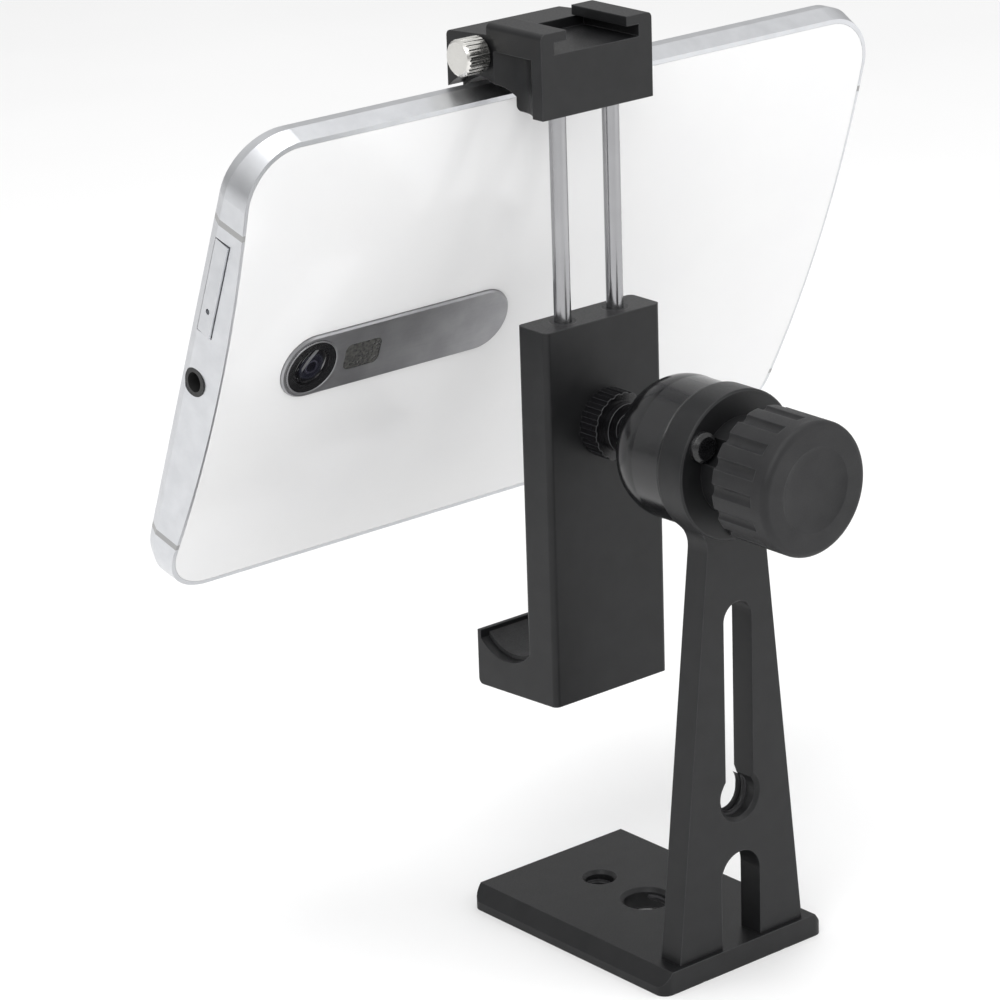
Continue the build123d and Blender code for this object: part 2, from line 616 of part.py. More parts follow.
with BuildPart() as rod_stops:
    for x in rods_x():
        with BuildSketch(Plane.XY.offset(ROD_BOTTOM_Z - STOP_T)):
            with Locations((x, ROD_Y)):
                Circle(POCKET_R - PIECE_GAP)
    extrude(amount=STOP_T)
save(rod_stops.part, "rod_stops")

for side, x in zip(("right", "left"), rods_x()):
    with BuildPart() as return_spring:
        spring_low = ROD_BOTTOM_Z + SPRING_WIRE_R + PIECE_GAP
        spring_high = CLAMP_Z_TOP - BUSH_L - SPRING_WIRE_R - PIECE_GAP
        with BuildLine():
            coil = Helix((spring_high - spring_low) / SPRING_TURNS, spring_high - spring_low, SPRING_R,
                         center=(x, ROD_Y, spring_low))
        with BuildSketch(Plane(origin=coil @ 0, z_dir=coil % 0)):
            Circle(SPRING_WIRE_R)
        sweep(is_frenet=True)
    save(return_spring.part, f"return_spring_{side}")

# ---- rubber pads on the lower jaw and on the clamp's face --------------------
with BuildPart() as lower_pad:
    with BuildSketch(side_plane(0)):
        with BuildLine():
            pad_tip_y = JAW_TIP_Y + PAD_T
            Line((pad_tip_y, JAW_LIP_Z - PAD_T), (pad_tip_y, JAW_LIP_Z - 2 * PAD_T))
            ThreePointArc((pad_tip_y, JAW_LIP_Z - 2 * PAD_T), (JAW_SEAT_Y, JAW_SEAT_Z - PAD_T),
                          (CLAMP_Y_FRONT, JAW_ROOT_Z - PAD_T))
            Line((CLAMP_Y_FRONT, JAW_ROOT_Z - PAD_T), (CLAMP_Y_FRONT, JAW_ROOT_Z))
            ThreePointArc((CLAMP_Y_FRONT, JAW_ROOT_Z), (JAW_SEAT_Y, JAW_SEAT_Z), (pad_tip_y, JAW_LIP_Z - PAD_T))
        make_face()
    extrude(amount=CLAMP_PAD_W / 2, both=True)
save(lower_pad.part, "lower_pad")

with BuildPart() as back_pad:
    with BuildSketch(facing_front(CLAMP_Y_FRONT)):
        with Locations((0, (JAW_ROOT_Z + CLAMP_Z_TOP) / 2)):
            RectangleRounded(CLAMP_PAD_W, CLAMP_Z_TOP - JAW_ROOT_Z - 4, 2)
    extrude(amount=PAD_T)
save(back_pad.part, "back_pad")

# ---- upper jaw: block, hooked arm and cold shoe ------------------------------
with BuildPart() as upper_jaw:
    with BuildSketch(side_plane(0)):
        with BuildLine():
            Polyline(
                (BLOCK_Y_FRONT, ARCH_ROOT_Z), (BLOCK_Y_FRONT, BLOCK_Z_LOW), (CLAMP_Y_BACK, BLOCK_Z_LOW),
                (CLAMP_Y_BACK, BLOCK_Z_TOP), (RAIL_Y_FRONT, BLOCK_Z_TOP), (RAIL_Y_FRONT, ARM_ROOT_TOP_Z),
                (ARM_TIP_Y, ARM_TIP_TOP_Z), (ARM_TIP_Y, ARM_TIP_LOW_Z),
            )
            ThreePointArc((ARM_TIP_Y, ARM_TIP_LOW_Z), (ARCH_CROWN_Y, ARCH_CROWN_Z), (BLOCK_Y_FRONT, ARCH_ROOT_Z))
        make_face()
    extrude(amount=SHOE_W / 2, both=True)
    fillet(
        upper_jaw.edges().filter_by(Axis.X).filter_by(
            lambda e: e.center().Y < ARM_TIP_Y + PICK_TOLERANCE and e.center().Z > ARM_TIP_LOW_Z + 1
        ),
        CLAMP_EDGE_R,
    )
    fillet(
        upper_jaw.edges().filter_by(Axis.Y).filter_by(lambda e: e.center().Z > BLOCK_Z_TOP - PICK_TOLERANCE),
        CLAMP_EDGE_R,
    )
    fillet(
        upper_jaw.edges().filter_by(Axis.X).filter_by(
            lambda e: e.center().Z < BLOCK_Z_LOW + PICK_TOLERANCE and e.center().Y < BLOCK_Y_FRONT + PICK_TOLERANCE
        ),
        CLAMP_EDGE_R,
    )
    with BuildSketch(Plane.XY.offset(BLOCK_Z_LOW)):
        for x in (-1, 1):
            with Locations((x * (SHOE_W / 2 + ARM_SCOOP_R - ARM_SCOOP_DEPTH), ARM_SCOOP_Y)):
                Circle(ARM_SCOOP_R)
    extrude(amount=ARM_SCOOP_TOP_Z - BLOCK_Z_LOW, mode=Mode.SUBTRACT)
    with BuildSketch(facing_front(CLAMP_Y_BACK)):
        with Locations((0, BLOCK_Z_TOP - SHOE_DEPTH / 2)):
            Rectangle(SHOE_MOUTH_W, SHOE_DEPTH)
        with Locations((0, BLOCK_Z_TOP - (SHOE_DEPTH + RAIL_T) / 2)):
            Rectangle(SHOE_SLOT_W, SHOE_DEPTH - RAIL_T)
    extrude(amount=CLAMP_Y_BACK - RAIL_Y_FRONT, mode=Mode.SUBTRACT)
    for x in rods_x():
        with Locations((x, ROD_Y, (BLOCK_Z_LOW + ROD_TOP_Z) / 2)):
            Cylinder(ROD_R + PIECE_GAP, ROD_TOP_Z - BLOCK_Z_LOW, mode=Mode.SUBTRACT)
    with Locations((SHOE_W / 2 - THUMB_SHANK_L / 2, THUMB_Y, THUMB_Z)):
        Cylinder(THUMB_SHANK_R + PIECE_GAP, THUMB_SHANK_L, rotation=(0, 90, 0), mode=Mode.SUBTRACT)
save(upper_jaw.part, "upper_jaw")

with BuildPart() as upper_pad:
    with BuildSketch(side_plane(0)):
        with BuildLine():
            ThreePointArc((ARM_TIP_Y, ARM_TIP_LOW_Z), (ARCH_CROWN_Y, ARCH_CROWN_Z), (BLOCK_Y_FRONT, ARCH_ROOT_Z))
            Line((BLOCK_Y_FRONT, ARCH_ROOT_Z), (BLOCK_Y_FRONT, ARCH_ROOT_Z - PAD_T))
            ThreePointArc((BLOCK_Y_FRONT, ARCH_ROOT_Z - PAD_T), (ARCH_CROWN_Y, ARCH_CROWN_Z - PAD_T),
                          (ARM_TIP_Y, ARM_TIP_LOW_Z - PAD_T))
            Line((ARM_TIP_Y, ARM_TIP_LOW_Z - PAD_T), (ARM_TIP_Y, ARM_TIP_LOW_Z))
        make_face()
    extrude(amount=(CLAMP_PAD_W - 4) / 2, both=True)
save(upper_pad.part, "upper_pad")

with BuildPart() as thumbscrew:
    head_x = SHOE_W / 2 + THUMB_HEAD_GAP
    with BuildSketch(side_plane(head_x)):
        with Locations((THUMB_Y, THUMB_Z)):
            Circle(THUMB_HEAD_R)
    extrude(amount=THUMB_HEAD_L)
    chamfer(thumbscrew.edges().filter_by(GeomType.CIRCLE), THUMB_CHAMFER)
    with BuildSketch(side_plane(head_x)):
        with Locations((THUMB_Y, THUMB_Z)):
            with PolarLocations(THUMB_HEAD_R + THUMB_FLUTE_OUT, THUMB_FLUTES):
                Circle(THUMB_FLUTE_R)
    extrude(amount=THUMB_HEAD_L, mode=Mode.SUBTRACT)
    with BuildSketch(side_plane(head_x)):
        with Locations((THUMB_Y, THUMB_Z)):
            Circle(THUMB_SHANK_R)
    extrude(amount=-(THUMB_HEAD_GAP + THUMB_SHANK_L - 1))
save(thumbscrew.part, "thumbscrew")


# ---- phone -------------------------------------------------------------------
def phone_outline(inset):
    """The phone's rounded outline on a front-facing sketch, taken in by inset all round."""
    with Locations((PHONE_X_MID, -PHONE_H / 2)):
        RectangleRounded(PHONE_L - 2 * inset, PHONE_H - 2 * inset, PHONE_CORNER_R - inset)


def under_dome(drop):
    """Everything under the domed back's surface, as low as drop beneath it."""
    with BuildPart() as section:
        with BuildSketch(side_plane(PHONE_X_MID)):
            with BuildLine():
                ThreePointArc((PHONE_EDGE_Y - drop, 0), (PHONE_CROWN_Y - drop, -PHONE_H / 2),
                              (PHONE_EDGE_Y - drop, -PHONE_H))
                Polyline((PHONE_EDGE_Y - drop, -PHONE_H), (PHONE_FRONT_Y - 2, -PHONE_H - 2),
                         (PHONE_FRONT_Y - 2, 2), (PHONE_EDGE_Y - drop, 0))
            make_face()
        extrude(amount=PHONE_L, both=True)
    return section.part


def behind_display(from_mid, thickness):
    """Centre of an inner piece this thick that lies just behind the display."""
    y = PHONE_FRONT_Y + GLASS_T + DISPLAY_T + INNER_GAP + thickness / 2
    return (PHONE_X_MID + from_mid[0], y, -PHONE_H / 2 + from_mid[1])


UNDER_BACK = under_dome(0)
UNDER_BACK_SHELL = under_dome(BACK_T)

with BuildPart() as phone_frame:
    with BuildSketch(facing_front(PHONE_RIDGE_Y)):
        phone_outline(0)
    extrude(amount=PHONE_RIDGE_Y - PHONE_FRONT_Y, taper=FRAME_FRONT_TAPER)
    with BuildSketch(facing_back(PHONE_RIDGE_Y)):
        with Locations((PHONE_X_MID, PHONE_H / 2)):
            RectangleRounded(PHONE_L, PHONE_H, PHONE_CORNER_R)
    extrude(amount=PHONE_CROWN_Y - PHONE_RIDGE_Y + 1, taper=FRAME_BACK_TAPER)
    add(UNDER_BACK, mode=Mode.INTERSECT)
    with BuildSketch(facing_front(PHONE_CROWN_Y + 1)):
        phone_outline(FRAME_WALL)
    extrude(amount=PHONE_CROWN_Y + 1 - PHONE_FRONT_Y, mode=Mode.SUBTRACT)
    with BuildSketch(facing_front(PHONE_CROWN_Y + 1)):
        phone_outline(FRAME_INSET)
    extrude(amount=PHONE_CROWN_Y + 1 - PHONE_EDGE_Y + BACK_T, mode=Mode.SUBTRACT)
    with BuildSketch(facing_front(PHONE_FRONT_Y + GLASS_T)):
        phone_outline(FRAME_INSET)
    extrude(amount=GLASS_T, mode=Mode.SUBTRACT)
    with Locations((PHONE_X_HIGH, PORT_Y, TRAY_Z)):
        Box(2 * FRAME_WALL + 1, TRAY_T + 2 * TRAY_GAP, TRAY_L + 2 * TRAY_GAP, mode=Mode.SUBTRACT)
    with Locations((PHONE_X_HIGH, PORT_Y, JACK_Z)):
        Cylinder(JACK_BARREL_R, 2 * FRAME_WALL + 1, rotation=(0, 90, 0), mode=Mode.SUBTRACT)
    with Locations((PHONE_X_LOW, PORT_Y, JACK_Z)):
        Box(2 * FRAME_WALL + 1, PORT_SIZE[1], PORT_SIZE[0], mode=Mode.SUBTRACT)
    for key_x, key_l in (POWER_KEY, VOLUME_KEY):
        with Locations((key_x, 0, -PHONE_H)):
            Box(key_l + 2 * KEY_GAP, KEY_T + 2 * KEY_GAP, 2 * FRAME_WALL + 1, mode=Mode.SUBTRACT)
save(phone_frame.part, "phone_frame", PHONE_PLACE)

with BuildPart() as phone_back:
    with BuildSketch(facing_front(PHONE_CROWN_Y + 1)):
        phone_outline(FRAME_INSET + PIECE_GAP)
    extrude(amount=PHONE_CROWN_Y + 1 - PHONE_FRONT_Y)
    add(UNDER_BACK, mode=Mode.INTERSECT)
    add(UNDER_BACK_SHELL, mode=Mode.SUBTRACT)
    with BuildSketch(facing_back(0)):
        with Locations(((PILL_X_LOW + PILL_X_HIGH) / 2, -PILL_Z)):
            SlotOverall(PILL_X_HIGH - PILL_X_LOW, PILL_W)
    extrude(amount=PHONE_CROWN_Y + 1, mode=Mode.SUBTRACT)
save(phone_back.part, "phone_back", PHONE_PLACE)

with BuildPart() as phone_glass:
    with BuildSketch(facing_front(PHONE_FRONT_Y + GLASS_T)):
        phone_outline(FRAME_INSET + PIECE_GAP)
    extrude(amount=GLASS_T)
save(phone_glass.part, "phone_glass", PHONE_PLACE)

with BuildPart() as phone_display:
    with BuildSketch(facing_front(PHONE_FRONT_Y + GLASS_T + DISPLAY_T)):
        with Locations((PHONE_X_MID, -PHONE_H / 2)):
            Rectangle(PHONE_L - 2 * DISPLAY_BORDER[0], PHONE_H - 2 * DISPLAY_BORDER[1])
    extrude(amount=DISPLAY_T)
save(phone_display.part, "phone_display", PHONE_PLACE)

with BuildPart() as phone_battery:
    with Locations(behind_display(BATTERY_FROM_MID, BATTERY_SIZE[1])):
        Box(*BATTERY_SIZE)
save(phone_battery.part, "phone_battery", PHONE_PLACE)

with BuildPart() as phone_board:
    with Locations(behind_display(BOARD_FROM_MID, BOARD_SIZE[1])):
        Box(*BOARD_SIZE)
save(phone_board.part, "phone_board", PHONE_PLACE)

pill_y = PHONE_CROWN_Y + PILL_PROUD
with BuildPart() as camera_plate:
    with BuildSketch(facing_back(pill_y - PILL_PROUD - BACK_T)):
        with Locations(((PILL_X_LOW + PILL_X_HIGH) / 2, -PILL_Z)):
            SlotOverall(PILL_X_HIGH - PILL_X_LOW - 2 * PIECE_GAP, PILL_W - 2 * PIECE_GAP)
    extrude(amount=PILL_PROUD + BACK_T)
    chamfer(camera_plate.faces().sort_by(Axis.Y)[-1].edges(), EDGE_BREAK)
    with BuildSketch(facing_back(0)):
        with Locations((LENS_X, -PILL_Z)):
            Circle(LENS_R)
        with Locations((FLASH_X, -PILL_Z)):
            RectangleRounded(*FLASH_SIZE, FLASH_CORNER_R)
    extrude(amount=pill_y + 1, mode=Mode.SUBTRACT)
save(camera_plate.part, "camera_plate", PHONE_PLACE)

with BuildPart() as lens_barrel:
    with BuildSketch(facing_back(pill_y - LENS_DEPTH)):
        with Locations((LENS_X, -PILL_Z)):
            Circle(LENS_R - PIECE_GAP)
    extrude(amount=LENS_DEPTH + LENS_RIM)
    with BuildSketch(facing_back(pill_y - LENS_RECESS)):
        with Locations((LENS_X, -PILL_Z)):
            Circle(LENS_GLASS_R)
    extrude(amount=LENS_RECESS + LENS_RIM, mode=Mode.SUBTRACT)
save(lens_barrel.part, "lens_barrel", PHONE_PLACE)

with BuildPart() as lens_glass:
    with BuildSketch(facing_back(pill_y - LENS_RECESS)):
        with Locations((LENS_X, -PILL_Z)):
            Circle(LENS_GLASS_R - PIECE_GAP)
    extrude(amount=LENS_GLASS_T)
save(lens_glass.part, "lens_glass", PHONE_PLACE)

with BuildPart() as flash_window:
    with BuildSketch(facing_back(pill_y - FLASH_DEPTH - PIECE_GAP)):
        with Locations((FLASH_X, -PILL_Z)):
            RectangleRounded(FLASH_SIZE[0] - 2 * PIECE_GAP, FLASH_SIZE[1] - 2 * PIECE_GAP,
                             FLASH_CORNER_R - PIECE_GAP)
    extrude(amount=FLASH_DEPTH)
save(flash_window.part, "flash_window", PHONE_PLACE)

with BuildPart() as sim_tray:
    with Locations((PHONE_X_HIGH - TRAY_DEPTH / 2, PORT_Y, TRAY_Z)):
        Box(TRAY_DEPTH, TRAY_T, TRAY_L)
    with Locations((PHONE_X_HIGH - TRAY_DEPTH / 2 - 1, PORT_Y, TRAY_Z + 1)):
        Box(TRAY_DEPTH - TRAY_WALLS[0], TRAY_T - TRAY_WALLS[1], TRAY_L - TRAY_WALLS[2], mode=Mode.SUBTRACT)
    with Locations((PHONE_X_HIGH, PORT_Y, TRAY_PIN_Z)):
        Cylinder(TRAY_PIN_R, 2 * TRAY_PIN_DEPTH, rotation=(0, 90, 0), mode=Mode.SUBTRACT)
save(sim_tray.part, "sim_tray", PHONE_PLACE)

with BuildPart() as headphone_jack:
    with Locations((PHONE_X_HIGH - JACK_L / 2 - JACK_RECESS, PORT_Y, JACK_Z)):
        Cylinder(JACK_BARREL_R - PIECE_GAP, JACK_L, rotation=(0, 90, 0))
    with Locations((PHONE_X_HIGH - JACK_L / 2 - JACK_RECESS + JACK_END_WALL, PORT_Y, JACK_Z)):
        Cylinder(JACK_BORE_R, JACK_L, rotation=(0, 90, 0), mode=Mode.SUBTRACT)
save(headphone_jack.part, "headphone_jack", PHONE_PLACE)

with BuildPart() as charge_port:
    with Locations((PHONE_X_LOW + PORT_RECESS + PORT_DEPTH / 2, PORT_Y, JACK_Z)):
        Box(PORT_DEPTH, PORT_SIZE[1] - 2 * PIECE_GAP, PORT_SIZE[0] - 2 * PIECE_GAP)
        Box(PORT_DEPTH, PORT_SIZE[1] - PORT_SHELL, PORT_SIZE[0] - PORT_SHELL, mode=Mode.SUBTRACT)
    with Locations((PHONE_X_LOW + PORT_DEPTH / 2 + TONGUE_FROM, PORT_Y, JACK_Z)):
        Box(PORT_DEPTH - TONGUE_INSET, TONGUE_T, PORT_SIZE[0] - TONGUE_INSET)
    with Locations((PHONE_X_LOW + PORT_DEPTH - PORT_END_BACK, PORT_Y, JACK_Z)):
        Box(PORT_END_T, PORT_SIZE[1] - 2 * PIECE_GAP, PORT_SIZE[0] - 2 * PIECE_GAP)
save(charge_port.part, "charge_port", PHONE_PLACE)

for name, (key_x, key_l) in (("power_key", POWER_KEY), ("volume_key", VOLUME_KEY)):
    with BuildPart() as key:
        with Locations((key_x, 0, -PHONE_H - KEY_PROUD + (KEY_DEPTH + KEY_PROUD) / 2)):
            Box(key_l, KEY_T, KEY_DEPTH + KEY_PROUD)
        fillet(key.edges().filter_by(Axis.Z), KEY_CORNER_R)
    save(key.part, name, PHONE_PLACE)
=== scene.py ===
import json
import math

import bmesh
import bpy
from mathutils import Matrix, Vector


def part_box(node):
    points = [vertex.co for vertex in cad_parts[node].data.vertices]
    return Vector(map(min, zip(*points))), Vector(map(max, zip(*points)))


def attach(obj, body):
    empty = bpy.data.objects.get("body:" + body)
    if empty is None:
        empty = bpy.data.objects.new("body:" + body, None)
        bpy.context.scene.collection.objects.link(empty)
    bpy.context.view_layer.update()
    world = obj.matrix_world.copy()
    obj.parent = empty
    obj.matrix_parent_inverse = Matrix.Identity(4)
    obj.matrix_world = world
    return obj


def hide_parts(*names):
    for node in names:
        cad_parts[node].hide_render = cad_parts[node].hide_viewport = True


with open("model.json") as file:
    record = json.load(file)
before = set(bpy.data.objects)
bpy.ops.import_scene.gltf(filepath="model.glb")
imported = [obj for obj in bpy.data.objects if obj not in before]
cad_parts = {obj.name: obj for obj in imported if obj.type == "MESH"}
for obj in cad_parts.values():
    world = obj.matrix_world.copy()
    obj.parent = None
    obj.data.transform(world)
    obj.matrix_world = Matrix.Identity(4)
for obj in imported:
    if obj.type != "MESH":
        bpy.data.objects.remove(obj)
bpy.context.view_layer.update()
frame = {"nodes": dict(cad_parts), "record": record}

MM = 0.001

# The camera, in the row frame, in metres and degrees.
CAMERA_AT = (0.4354, 0.4666, 0.3100)
CAMERA_AZIMUTH = 140.52
CAMERA_ELEVATION = 19.305
CAMERA_ROLL = -1.913
LENS_MM = 145.65
SENSOR_MM = 36.0

CAMERA_CLIP = (0.01, 20.0)

# Studio light: the surround's brightness near the horizon and overhead, and the heights it turns between.
SURROUND_LOW = (0.42, 0.42, 0.42)
SURROUND_HIGH = (0.92, 0.92, 0.92)
SURROUND_STOPS = (0.05, 0.75)

# Each lamp's name, place, size and power, and the point that they all look at.
LAMPS = (
    ("key", (0.55, 0.35, 0.75), (0.6, 0.6), 3.4),
    ("fill", (-0.5, 0.6, 0.35), (0.5, 0.7), 1.6),
    ("top", (0.0, -0.1, 0.95), (0.7, 0.5), 2.2),
)
LAMP_AIM = (0, -0.02, 0.09)
FLOOR_SIZE = 6.0

# Thread pitches and sizes of the tapped holes, in metres.
COARSE_PITCH = 1.5875 * MM
FINE_PITCH = 1.27 * MM
THREAD_DEPTH = 0.62 * MM
THREAD_STEPS_PER_TURN = 48
THREAD_FADE_STEPS = 18

# A thread's ridge: half its width at the root and the crest as shares of the pitch, and how far its
# root is sunk in the wall.
ROOT_SHARE = 0.42
CREST_SHARE = 0.06
ROOT_SINK = 0.02 * MM

# The antenna bands across the phone's frame, as shares of its height from its upper edge.
BAND_SHARES = (0.17, 0.864)
BAND_WIDTH = 1.1 * MM

# The lens's rings, as shares of its radius and their colours, and its trim, in metres. The dark rings are the
# lens's inside; the two lighter bluish rings are a painted reflection of the glass's coating.
LENS_RINGS_AND_REFLECTION = (
    (0.26, (0.003, 0.003, 0.008)), (0.32, (0.045, 0.045, 0.06)), (0.44, (0.006, 0.006, 0.012)),
    (0.68, (0.020, 0.021, 0.030)), (0.74, (0.004, 0.004, 0.005)),
)
LENS_CROWN = 0.35 * MM
CROWN_STEPS = 12
TRIM_WIDTH = 0.28 * MM
TRIM_HEIGHT = 0.10 * MM
LATHE_STEPS = 96

# How far sharp machined edges are rounded, and how high a fine grain and the flash's prisms stand.
EDGE_ROUND = 0.3 * MM
GRAIN_RISE = 0.02 * MM
PRISM_RISE = 0.1 * MM

# The part of a noise's values that is stretched over the whole of a material's range.
NOISE_LOW, NOISE_HIGH = 0.3, 0.7

# Where a colour mixing node keeps its two colours and its result.
MIX_FIRST, MIX_SECOND, MIX_RESULT = 6, 7, 2

# The slot that opens the top of the upright's round end, as the half angle that it takes, and the
# thread in it.
KEYHOLE_GAP = math.radians(62)
KEYHOLE_STEPS = 40
KEYHOLE_FADE_STEPS = 5
KEYHOLE_TURNS = 2
KEYHOLE_START_TURNS = 1.55

# The phone's metal, shared by its frame and its keys.
SILVER_DARK = (0.60, 0.61, 0.63)
SILVER_LIGHT = (0.66, 0.67, 0.69)
BAND_GREY = (0.33, 0.33, 0.33)


# ---- shader helpers ---------------------------------------------------------
def new_material(name):
    """A node material, its Principled shader, its node list and its links."""
    made = bpy.data.materials.new(name)
    made.use_nodes = True
    tree = made.node_tree
    return made, tree.nodes["Principled BSDF"], tree.nodes, tree.links


def noise(nodes, links, scale, detail=6.0, stretch=(1, 1, 1)):
    """Noise in object space, stretched along an axis for grain. Returns its value socket."""
    where = nodes.new("ShaderNodeTexCoord")
    mapping = nodes.new("ShaderNodeMapping")
    mapping.inputs["Scale"].default_value = stretch
    texture = nodes.new("ShaderNodeTexNoise")
    texture.inputs["Scale"].default_value = scale
    texture.inputs["Detail"].default_value = detail
    links.new(where.outputs["Object"], mapping.inputs["Vector"])
    links.new(mapping.outputs["Vector"], texture.inputs["Vector"])
    return texture.outputs["Fac"]


def spread(nodes, links, value, low, high):
    """Maps a noise value onto low to high."""
    step = nodes.new("ShaderNodeMapRange")
    step.inputs["From Min"].default_value = NOISE_LOW
    step.inputs["From Max"].default_value = NOISE_HIGH
    step.inputs["To Min"].default_value = low
    step.inputs["To Max"].default_value = high
    links.new(value, step.inputs["Value"])
    return step.outputs["Result"]


def tint(nodes, links, value, dark, light):
    """A colour between dark and light."""
    ramp = nodes.new("ShaderNodeValToRGB")
    ramp.color_ramp.elements[0].position = NOISE_LOW
    ramp.color_ramp.elements[1].position = NOISE_HIGH
    ramp.color_ramp.elements[0].color = (*dark, 1)
    ramp.color_ramp.elements[1].color = (*light, 1)
    links.new(value, ramp.inputs["Fac"])
    return ramp.outputs["Color"]


def mixed(nodes, links, factor, first, second):
    """A socket's colour where factor is 0, turning into a fixed colour where it is 1."""
    mix = nodes.new("ShaderNodeMix")
    mix.data_type = "RGBA"
    links.new(factor, mix.inputs["Factor"])
    links.new(first, mix.inputs[MIX_FIRST])
    mix.inputs[MIX_SECOND].default_value = (*second, 1)
    return mix.outputs[MIX_RESULT]


def arithmetic(nodes, links, operation, *given):
    """A math node's value, from sockets and fixed numbers."""
    step = nodes.new("ShaderNodeMath")
    step.operation = operation
    for place, value in zip(step.inputs, given):
        if isinstance(value, bpy.types.NodeSocket):
            links.new(value, place)
        else:
            place.default_value = value
    return step.outputs["Value"]


def bump(nodes, links, shader, value, strength, distance=GRAIN_RISE, over=None):
    """Raises the surface by value, over a given normal if there is one."""
    step = nodes.new("ShaderNodeBump")
    step.inputs["Strength"].default_value = strength
    step.inputs["Distance"].default_value = distance
    links.new(value, step.inputs["Height"])
    if over is not None:
        links.new(over, step.inputs["Normal"])
    links.new(step.outputs["Normal"], shader.inputs["Normal"])


def rounded_edges(nodes, radius):
    """The normal of the surface with its sharp edges rounded."""
    step = nodes.new("ShaderNodeBevel")
    step.samples = 6
    step.inputs["Radius"].default_value = radius
    return step.outputs["Normal"]


def edge_mask(nodes, links, rounded):
    """0 on flat stretches, rising to 1 where the rounded normal leaves the flat one."""
    geometry = nodes.new("ShaderNodeNewGeometry")
    dot = nodes.new("ShaderNodeVectorMath")
    dot.operation = "DOT_PRODUCT"
    links.new(rounded, dot.inputs[0])
    links.new(geometry.outputs["True Normal"], dot.inputs[1])
    step = nodes.new("ShaderNodeMapRange")
    step.inputs["From Min"].default_value = 0.995
    step.inputs["From Max"].default_value = 0.8
    links.new(dot.outputs["Value"], step.inputs["Value"])
    return step.outputs["Result"]


def grained(name, dark, light, metallic, rough, grain, coat=0.0, stretch=(1, 1, 1), height=0.08):
    """The common recipe: mottled colour, varied roughness and a fine bump."""
    made, shader, nodes, links = new_material(name)
    value = noise(nodes, links, grain, stretch=stretch)
    broad = noise(nodes, links, grain / 14, detail=3.0)
    links.new(tint(nodes, links, broad, dark, light), shader.inputs["Base Color"])
    links.new(spread(nodes, links, value, *rough), shader.inputs["Roughness"])
    shader.inputs["Metallic"].default_value = metallic
    shader.inputs["Coat Weight"].default_value = coat
    bump(nodes, links, shader, value, height)
    return made


# ---- materials --------------------------------------------------------------
def anodised(name, dark, light, rough, rubbed_and_highlight=(0.05, 0.05, 0.053), specular=0.32):
    """Black anodised aluminium: bead-blasted grain, with its edges painted lighter, partly as wear and partly
    as a painted highlight.
    """
    made, shader, nodes, links = new_material(name)
    grain = noise(nodes, links, 5200, detail=4.0)
    broad = noise(nodes, links, 260, detail=3.0)
    rounded = rounded_edges(nodes, EDGE_ROUND)
    body = tint(nodes, links, broad, dark, light)
    # Edge colour: lighter along the rounded edges, part wear and part painted highlight where the edges catch
    # light.
    worn_and_highlit = mixed(nodes, links, edge_mask(nodes, links, rounded), body, rubbed_and_highlight)
    links.new(worn_and_highlit, shader.inputs["Base Color"])
    links.new(spread(nodes, links, grain, *rough), shader.inputs["Roughness"])
    shader.inputs["Specular IOR Level"].default_value = specular
    bump(nodes, links, shader, grain, 0.22, over=rounded)
    return made


def banded_frame(name):
    """The phone's silver frame, with plastic antenna bands across it near its two long edges."""
    made, shader, nodes, links = new_material(name)
    up = Vector(joint_named("power_press")["axis"])
    heights = [up.dot(v.co) for v in frame["nodes"]["phone_frame"].data.vertices]
    low, high = min(heights), max(heights)
    where = nodes.new("ShaderNodeTexCoord")
    height = nodes.new("ShaderNodeVectorMath")
    height.operation = "DOT_PRODUCT"
    height.inputs[1].default_value = up
    links.new(where.outputs["Object"], height.inputs[0])
    masks = []
    for share in BAND_SHARES:
        middle = high - share * (high - low)
        masks.append(arithmetic(nodes, links, "COMPARE", height.outputs["Value"], middle, BAND_WIDTH / 2))
    both = arithmetic(nodes, links, "MAXIMUM", *masks)
    silver = tint(nodes, links, noise(nodes, links, 300, detail=3.0), SILVER_DARK, SILVER_LIGHT)
    links.new(mixed(nodes, links, both, silver, BAND_GREY), shader.inputs["Base Color"])
    links.new(arithmetic(nodes, links, "SUBTRACT", 1.0, both), shader.inputs["Metallic"])
    grain = noise(nodes, links, 4200)
    links.new(spread(nodes, links, grain, 0.28, 0.38), shader.inputs["Roughness"])
    bump(nodes, links, shader, grain, 0.1)
    return made


def led_window(name):
    """The flash's lens: small moulded prisms over dark lamps, with a few pale flecks."""
    made, shader, nodes, links = new_material(name)
    where = nodes.new("ShaderNodeTexCoord")
    cells = nodes.new("ShaderNodeTexVoronoi")
    cells.inputs["Scale"].default_value = 1700
    links.new(where.outputs["Object"], cells.inputs["Vector"])
    ramp = nodes.new("ShaderNodeValToRGB")
    ramp.color_ramp.elements[0].position = 0.1
    ramp.color_ramp.elements[0].color = (0.030, 0.030, 0.031, 1)
    ramp.color_ramp.elements[1].position = 0.8
    ramp.color_ramp.elements[1].color = (0.085, 0.084, 0.078, 1)
    links.new(cells.outputs["Distance"], ramp.inputs["Fac"])
    links.new(ramp.outputs["Color"], shader.inputs["Base Color"])
    links.new(spread(nodes, links, noise(nodes, links, 400), 0.08, 0.16), shader.inputs["Roughness"])
    shader.inputs["Coat Weight"].default_value = 0.7
    bump(nodes, links, shader, cells.outputs["Distance"], 0.4, PRISM_RISE)
    return made


